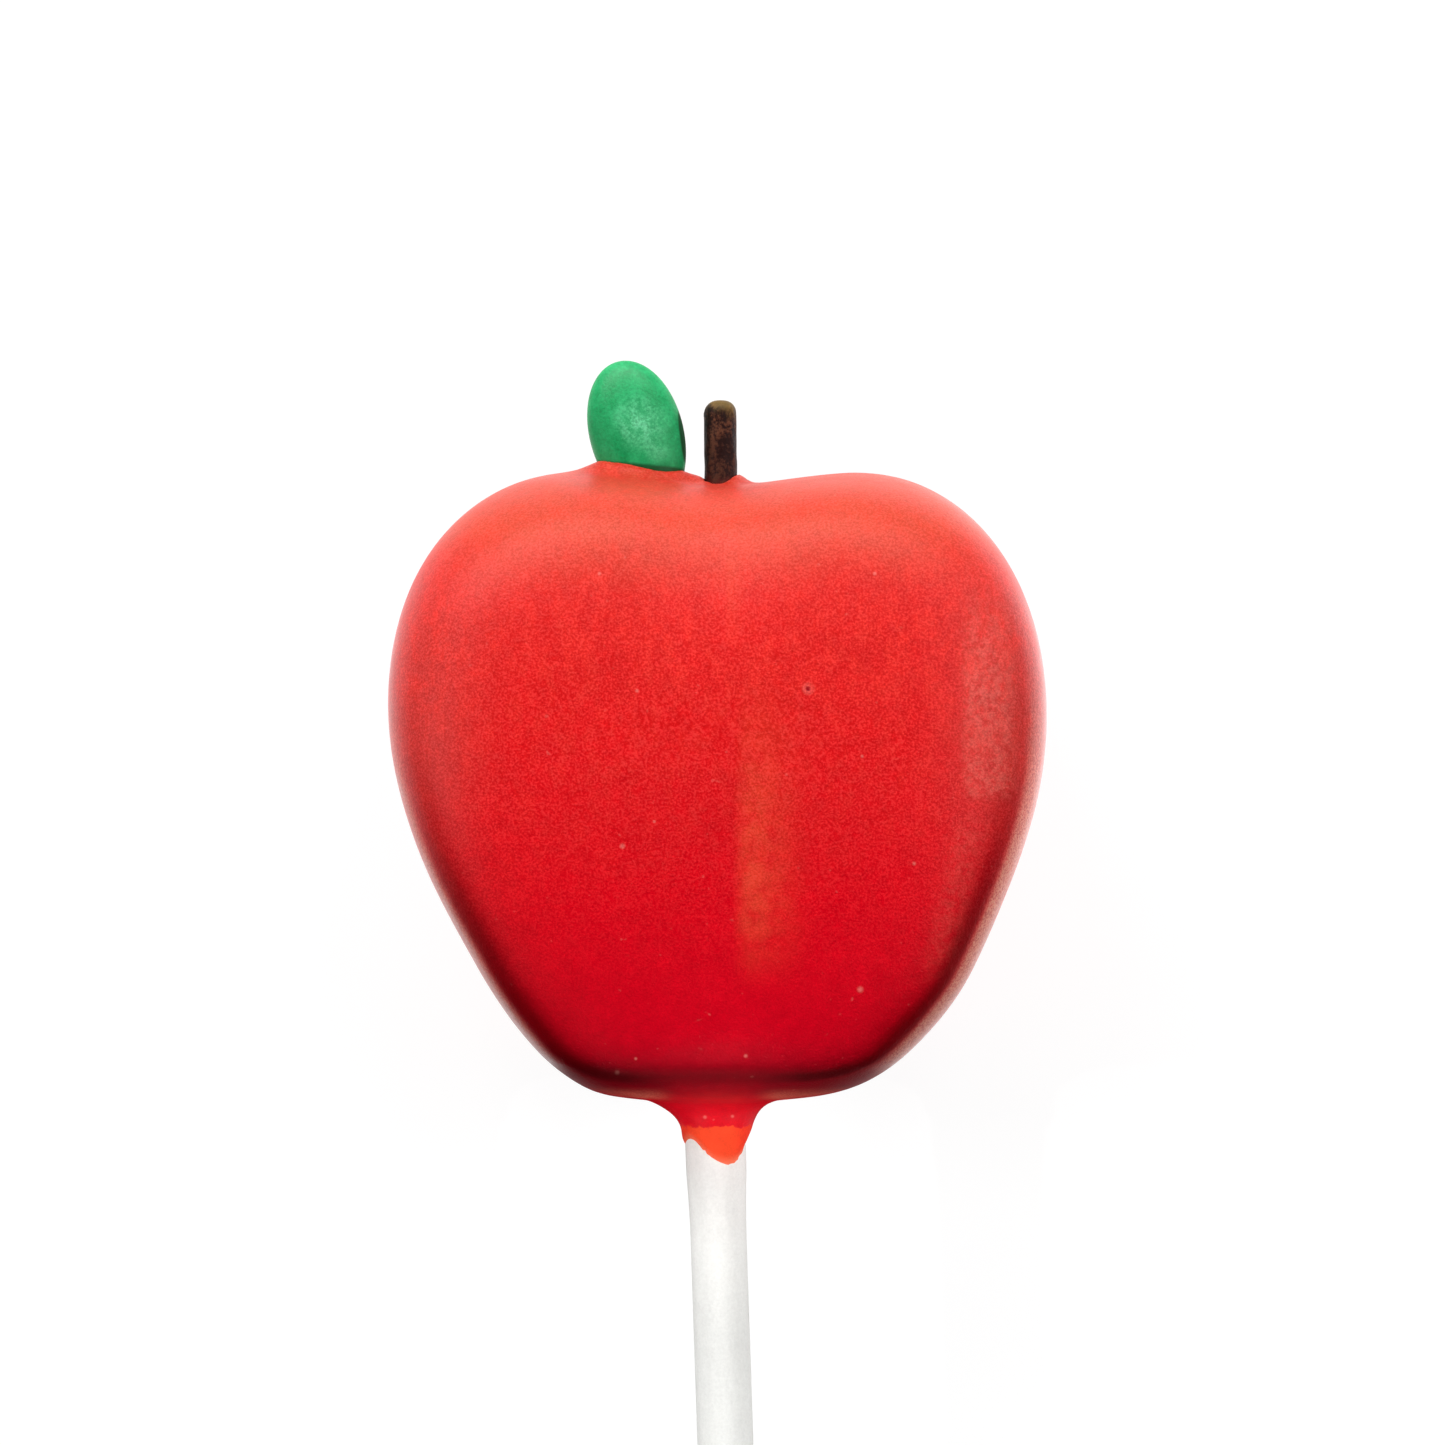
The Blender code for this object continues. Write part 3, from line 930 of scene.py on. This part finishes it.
class CAKEPOP_OT_candy_leaf(bpy.types.Operator):
    """Model the flattened oval leaf with the flat along its lower right edge"""

    bl_idname = "cakepop.candy_leaf"
    bl_label = "Candy leaf"

    def execute(self, context):
        settings = context.scene.cake_pop_leaf
        bpy.ops.mesh.primitive_uv_sphere_add(
            segments=96,
            ring_count=64,
            radius=1.0,
            rotation=(math.radians(-90.0), 0.0, 0.0),
        )
        leaf = new_name(context.object, "leaf_candy")
        bpy.ops.object.transform_apply(location=True, rotation=True, scale=True)
        for vert in leaf.data.vertices:
            vert.co.x *= 1.0 + settings.taper * vert.co.y
        leaf.scale = settings.half_size
        leaf.rotation_euler.z = settings.lean
        leaf.location = Vector((*LEAF_CENTRE, AXIS_HEIGHT)) * MM
        bpy.ops.object.transform_apply(location=True, rotation=True, scale=True)
        with editing(leaf):
            bpy.ops.mesh.select_all(action="SELECT")
            bpy.ops.mesh.bisect(
                plane_co=Vector((*FLAT_POINT, AXIS_HEIGHT)) * MM,
                plane_no=Vector(FLAT_FACING).normalized(),
                use_fill=True,
                clear_outer=True,
            )
        finish_with(leaf, "REMESH", mode="VOXEL", voxel_size=LEAF_GRID * MM)
        finish_with(leaf, "SMOOTH", factor=0.5, iterations=5)
        hand_over(leaf, "candy_leaf", leaf_finish(settings))
        return {"FINISHED"}


# ----------------------------------------------
# Stem
# ----------------------------------------------


class CakePopStem(bpy.types.PropertyGroup):
    """The short brown stem."""

    # Stained red by the coating, with a painted reflection of it.
    foot_colour: ColourProperty(
        name="Foot colour",
        description="Colour of its foot, which the red coating stains",
        default=(0.14, 0.012, 0.012),
    )
    colour: ColourProperty(
        name="Colour",
        description="Colour of most of the stem",
        default=(0.018, 0.006, 0.005),
    )
    speck_colour: ColourProperty(
        name="Speck colour",
        description="Colour of the paler specks and streaks",
        default=(0.16, 0.062, 0.032),
    )
    # Painted light: the top end and its right side lighter.
    tip_colour: ColourProperty(
        name="Tip colour",
        description="Colour of its scuffed top",
        default=(0.20, 0.125, 0.035),
    )


def stem_finish(settings):
    recipe = Recipe("candy_stem")
    across, height = recipe.across, recipe.height
    streaks = recipe.noise(1.3, detail=4.0, roughness=0.7, stretch=(1.6, 0.7, 1.6))
    specks = recipe.noise(0.25, detail=3.0, roughness=0.7)
    # Painted light: lighter and paler-specked towards the top end and its right side.
    towards_top = height.ramp(23.5, 25.5, 0.35, 0.75)
    pale = (streaks * 0.55 + specks * 0.45).ramp(0.44, 0.6) * towards_top
    colour = recipe.blend(pale, opaque(settings.colour), opaque(settings.speck_colour))
    tip = (height + (streaks - 0.5) * 2.0 + (across - STEM_AXIS_X) * 0.4).ramp(26.0, 27.2)
    colour = recipe.blend(tip * 0.75, colour, opaque(settings.tip_colour))
    # The foot stained by the red coating, with a painted reflection of it.
    foot = (height + (streaks - 0.5) * 1.5).ramp(21.2, 22.0, 0.6, 0.0)
    colour = recipe.blend(foot, colour, opaque(settings.foot_colour))
    # Painted shade down the stem's left side.
    colour = recipe.shade(colour, 0.3, 1.0, (across - STEM_AXIS_X).ramp(-1.2, -0.5))
    colour = recipe.shade(colour, 0.7, 1.35, specks)
    return recipe.finish(
        Base_Color=colour,
        Roughness=streaks.ramp(0.3, 0.7, 0.45, 0.6),
        Specular_IOR_Level=0.12,
        Normal=recipe.bump(streaks * 0.7 + specks * 0.3, 0.12),
    )


class CAKEPOP_OT_stem(bpy.types.Operator):
    """Round off the stem's solid, with its hand-rolled lumps"""

    bl_idname = "cakepop.stem"
    bl_label = "Stem"

    def execute(self, context):
        settings = context.scene.cake_pop_stem
        stem = copy_of_node("stem", "stem_candy")
        finish_with(stem, "REMESH", mode="VOXEL", voxel_size=STEM_GRID * MM)
        finish_with(stem, "SMOOTH", factor=0.5, iterations=6)
        hand_over(stem, "stem", stem_finish(settings))
        return {"FINISHED"}


# ----------------------------------------------
# Stick
# ----------------------------------------------


class CakePopStick(bpy.types.PropertyGroup):
    """The rolled paper stick."""

    radius: FloatProperty(
        name="Radius",
        description="Half the stick's thickness",
        default=0.002,
        unit="LENGTH",
    )
    swell: FloatProperty(
        name="Swell",
        description="How much thicker it is where the wet coating met it",
        default=0.00016,
        unit="LENGTH",
    )
    colour: ColourProperty(
        name="Colour",
        description="Colour of the paper",
        default=(0.92, 0.925, 0.895),
    )


# The stick's two ends, in millimetres above where the coating starts to run, and the rounding of
# the lower one. Then how swollen it is, as (millimetres above the same place, share).
STICK_TOP = 23.0
STICK_END = -91.3
END_ROUNDING = 0.2
STICK_SWELL = (
    (2.0, 0.0),
    (1.0, 1.0),
    (-1.8, 1.0),
    (-2.6, 0.88),
    (-3.6, 0.56),
    (-4.6, 0.3),
    (-5.6, 0.12),
    (-7.0, 0.0),
)


def stick_finish(settings):
    recipe = Recipe("rolled_paper")
    fibres = recipe.noise(0.4, detail=4.0, roughness=0.7, stretch=(1.0, 0.3, 1.0))
    grain = recipe.noise(0.2, detail=2.0, roughness=0.7)
    mottle = recipe.noise(2.5, detail=3.0)
    colour = recipe.shade(opaque(settings.colour), 0.8, 1.14, fibres * 0.4 + grain * 0.6)
    colour = recipe.shade(colour, 0.97, 1.02, mottle)
    return recipe.finish(
        Base_Color=colour,
        Roughness=fibres.ramp(0.3, 0.7, 0.7, 0.85),
        Specular_IOR_Level=0.3,
        Normal=recipe.bump(fibres * 0.5 + grain * 0.5, 0.02),
    )


class CAKEPOP_OT_paper_stick(bpy.types.Operator):
    """Roll the paper stick, a little swollen below the coating"""

    bl_idname = "cakepop.paper_stick"
    bl_label = "Paper stick"

    def execute(self, context):
        settings = context.scene.cake_pop_stick
        length = (STICK_TOP - STICK_END) * MM
        bpy.ops.mesh.primitive_cylinder_add(
            vertices=96,
            radius=settings.radius,
            depth=length,
            end_fill_type="NGON",
            location=(0.0, STICK_TOP * MM - length / 2.0, 0.0),
            rotation=(math.radians(90.0), 0.0, 0.0),
        )
        stick = new_name(context.object, "paper_stick")
        bpy.ops.object.transform_apply(location=True, rotation=True, scale=True)
        rings = [height for height, _ in STICK_SWELL]
        rings += np.linspace(rings[-1], STICK_END, 22)[1:-1].tolist()
        with editing(stick):
            for height in rings:
                bpy.ops.mesh.select_all(action="SELECT")
                bpy.ops.mesh.bisect(plane_co=(0.0, height * MM, 0.0), plane_no=(0.0, 1.0, 0.0))
            for height, share in STICK_SWELL:
                pick(stick, lambda vert: abs(vert.co.y / MM - height) < 0.01, "VERT")
                thicker = 1.0 + share * settings.swell / settings.radius
                bpy.ops.transform.resize(
                    value=(thicker, 1.0, thicker),
                    center_override=(0.0, height * MM, 0.0),
                )
            end = (STICK_END + 0.01) * MM
            pick(stick, lambda edge: all(vert.co.y < end for vert in edge.verts), "EDGE")
            bpy.ops.mesh.bevel(offset=END_ROUNDING * MM, segments=4, affect="EDGES")
        stick.location = (STICK_FOOT[0] * MM, STICK_FOOT[1] * MM, AXIS_HEIGHT * MM)
        stick.rotation_euler.z = math.radians(STICK_LEAN)
        hand_over(stick, "stick", stick_finish(settings))
        # The coating doesn't mirror the stick.
        stick.visible_glossy = False
        return {"FINISHED"}


# ----------------------------------------------
# Stage
# ----------------------------------------------


class CakePopStage(bpy.types.PropertyGroup):
    """The table, the lamps and the camera."""

    lamp_power: FloatProperty(
        name="Lamps",
        description="How many times their usual power the lamps have",
        default=1.15,
    )
    lamp_width: FloatProperty(
        name="Lamp width",
        description="Width of each round lamp",
        default=0.30,
        unit="LENGTH",
    )
    lamp_distance: FloatProperty(
        name="Lamp distance",
        description="How far the lamps stand from the apple",
        default=1.0,
        unit="LENGTH",
    )
    beam_power: FloatProperty(
        name="Beams",
        description="How many times their usual power the beams have",
        default=1.0,
    )
    room_light: FloatProperty(
        name="Room light",
        description="Strength of the light from the room's walls",
        default=0.0,
    )
    focal_length: FloatProperty(
        name="Focal length",
        description="The camera's focal length, in millimetres",
        default=120.0,
    )


# What the camera looks straight down at, how wide its view is there and its sensor, in millimetres.
CAMERA_AIM = (0.393, 4.321, 12.8)
VIEW_WIDTH = 103.2
SENSOR_WIDTH = 36.0

# Soft lamps, as (degrees from the leaf to the right, degrees above the table, watts).
LAMPS = {
    "beyond_far_left": (-42.0, 30.0, 3.05),
    "beyond_left": (-20.0, 30.0, 2.7),
    "beyond_left_low": (-20.0, 20.0, 0.85),
    "beyond": (0.0, 20.0, 2.3),
    "beyond_right": (20.0, 30.0, 2.65),
    "beyond_far_right": (42.0, 30.0, 0.35),
    "right_high": (90.0, 54.0, 0.84),
    "right_upper": (60.0, 54.0, 0.22),
    "right": (80.0, 36.0, 0.6),
    "right_low": (72.0, 15.0, 0.38),
    "left": (-100.0, 30.0, 0.75),
    "left_high": (-80.0, 40.0, 0.24),
    "left_low": (-80.0, 10.0, 0.23),
    "below": (180.0, 10.0, 0.6),
    "below_high": (-150.0, 54.0, 0.16),
}

# Narrow round beams on the stick and the neck, as (middle in millimetres, radius in millimetres,
# how soft the edge is, degrees from the leaf to the right, degrees above the table, watts).
BEAMS = {
    "stick_left": ((1.5, -69.8, AXIS_HEIGHT), 47.5, 0.04, -90.0, 32.0, 11.8),
    "stick_right": ((1.5, -69.8, AXIS_HEIGHT), 47.5, 0.04, 90.0, 32.0, 11.2),
    "neck": ((0.5, -28.6, AXIS_HEIGHT), 9.2, 0.4, 0.0, 90.0, 13.0),
    "neck_left": ((0.0, -22.7, 18.0), 6.5, 0.7, -150.0, 22.0, 8.0),
    "neck_right": ((0.0, -22.7, 18.0), 6.5, 0.7, 150.0, 22.0, 8.0),
}
# The radius of the lamp that a beam comes from, in millimetres.
BEAM_SOURCE = 4.0


def towards(azimuth, elevation):
    """A unit vector so many degrees from the leaf to the right and above the table."""
    around = math.radians(azimuth)
    above = math.radians(elevation)
    flat = math.cos(above)
    return Vector((math.sin(around) * flat, math.cos(around) * flat, math.sin(above)))


def lamp(name, azimuth, elevation, power, settings):
    """A round lamp that faces the apple, and that the camera doesn't see."""
    middle = Vector((0.0, 0.0, AXIS_HEIGHT * MM))
    away = towards(azimuth, elevation)
    bpy.ops.object.light_add(type="AREA", location=middle + away * settings.lamp_distance)
    made = bpy.context.object
    made.name = f"lamp_{name}"
    made.data.shape = "DISK"
    made.data.size = settings.lamp_width
    made.data.energy = power * settings.lamp_power
    made.rotation_euler = (-away).to_track_quat("-Z", "Y").to_euler()
    made.visible_camera = False
    # The coating doesn't mirror the lamp below it either.
    made.visible_glossy = name != "below"


def beam(name, middle, radius, softness, azimuth, elevation, power, settings):
    """A narrow round beam from a metre away, that the camera doesn't see."""
    away = towards(azimuth, elevation)
    bpy.ops.object.light_add(type="SPOT", location=Vector(middle) * MM + away)
    made = bpy.context.object
    made.name = f"beam_{name}"
    made.rotation_euler = (-away).to_track_quat("-Z", "Y").to_euler()
    made.data.energy = power * settings.beam_power
    made.data.spot_size = 2.0 * math.atan(radius * MM)
    made.data.spot_blend = softness
    made.data.shadow_soft_size = BEAM_SOURCE * MM
    made.visible_camera = False


def table_finish():
    """White to the camera, with a faint shadow. To the pop, bright beyond the leaf, dark below."""
    recipe = Recipe("table_white")
    flat = recipe.add("ShaderNodeCombineXYZ", None, {0: recipe.across, 1: recipe.height})
    length = {"operation": "LENGTH"}
    distance = recipe.add("ShaderNodeVectorMath", length, {0: flat}, "Value")
    near = distance.ramp(85.0, 120.0, 1.0, 0.0)
    onward = recipe.height / distance
    beyond = onward.ramp(-0.55, 0.0, 0.0, 1.1)
    right = (recipe.across / distance).ramp(0.2, 0.75, 0.0, 1.1)
    off_stick = (recipe.across * recipe.across).ramp(30.0, 130.0)
    beside = distance.ramp(30.0, 42.0, 1.5, 0.0) * off_stick * onward.ramp(-0.98, -0.8)
    strength = (near * (beyond + right)).larger(beside)
    thrown_back = recipe.add("ShaderNodeEmission", None, {"Strength": strength})
    seen = recipe.add("ShaderNodeEmission", None, {"Strength": 0.93})
    shaded = recipe.add("ShaderNodeBsdfDiffuse", None, {"Color": (0.12, 0.12, 0.12, 1.0)})
    seen = recipe.add("ShaderNodeAddShader", None, {0: seen, 1: shaded})
    camera = recipe.add("ShaderNodeLightPath", output="Is Camera Ray")
    surface = recipe.add("ShaderNodeMixShader", None, {0: camera, 1: thrown_back, 2: seen})
    recipe.add("ShaderNodeOutputMaterial", None, {"Surface": surface})
    return recipe.material


class CAKEPOP_OT_stage(bpy.types.Operator):
    """Lay the table, set the lamps and hang the camera over the pop"""

    bl_idname = "cakepop.stage"
    bl_label = "Stage"

    def execute(self, context):
        settings = context.scene.cake_pop_stage
        bpy.ops.mesh.primitive_plane_add(size=6.0, location=(0.0, 0.0, 0.0))
        table = new_name(context.object, "table_top")
        table.data.materials.append(table_finish())
        for name, (azimuth, elevation, power) in LAMPS.items():
            lamp(name, azimuth, elevation, power, settings)
        for name, values in BEAMS.items():
            beam(name, *values, settings)

        world = bpy.data.worlds.new("soft_room")
        context.scene.world = world
        world.use_nodes = True
        sky = world.node_tree.nodes["Background"]
        sky.inputs["Color"].default_value = (1.0, 1.0, 1.0, 1.0)
        sky.inputs["Strength"].default_value = settings.room_light

        away = VIEW_WIDTH * settings.focal_length / SENSOR_WIDTH
        above = Vector(CAMERA_AIM) + Vector((0.0, 0.0, away))
        bpy.ops.object.camera_add(location=above * MM, rotation=(0.0, 0.0, 0.0))
        camera = context.object
        camera.name = "camera_above"
        camera.data.lens = settings.focal_length
        camera.data.sensor_width = SENSOR_WIDTH
        context.scene.camera = camera
        context.scene.view_settings.view_transform = "Standard"
        return {"FINISHED"}


# ----------------------------------------------
# Panel and registration
# ----------------------------------------------


OPERATORS = (
    CAKEPOP_OT_coated_cake,
    CAKEPOP_OT_candy_leaf,
    CAKEPOP_OT_stem,
    CAKEPOP_OT_paper_stick,
    CAKEPOP_OT_stage,
)
SETTINGS = {
    "cake_pop_coating": CakePopCoating,
    "cake_pop_leaf": CakePopLeaf,
    "cake_pop_stem": CakePopStem,
    "cake_pop_stick": CakePopStick,
    "cake_pop_stage": CakePopStage,
}


class VIEW3D_PT_cake_pop(bpy.types.Panel):
    """Lists the pieces of the cake pop and their settings"""

    bl_idname = "VIEW3D_PT_cake_pop"
    bl_label = "Cake pop"
    bl_space_type = "VIEW_3D"
    bl_region_type = "UI"
    bl_category = "Cake pop"

    def draw(self, context):
        for operator, (name, group) in zip(OPERATORS, SETTINGS.items()):
            box = self.layout.box()
            box.operator(operator.bl_idname)
            settings = getattr(context.scene, name)
            for field in group.__annotations__:
                box.prop(settings, field)


def register():
    for group in SETTINGS.values():
        bpy.utils.register_class(group)
    for operator in OPERATORS:
        bpy.utils.register_class(operator)
    bpy.utils.register_class(VIEW3D_PT_cake_pop)
    for name, group in SETTINGS.items():
        setattr(bpy.types.Scene, name, PointerProperty(type=group))


def unregister():
    for name in SETTINGS:
        delattr(bpy.types.Scene, name)
    bpy.utils.unregister_class(VIEW3D_PT_cake_pop)
    for operator in reversed(OPERATORS):
        bpy.utils.unregister_class(operator)
    for group in reversed(SETTINGS.values()):
        bpy.utils.unregister_class(group)


def main():
    register()
    bpy.ops.object.select_all(action="DESELECT")
    bpy.ops.cakepop.coated_cake()
    bpy.ops.cakepop.candy_leaf()
    bpy.ops.cakepop.stem()
    bpy.ops.cakepop.paper_stick()
    bpy.ops.cakepop.stage()


if __name__ == "__main__":
    main()
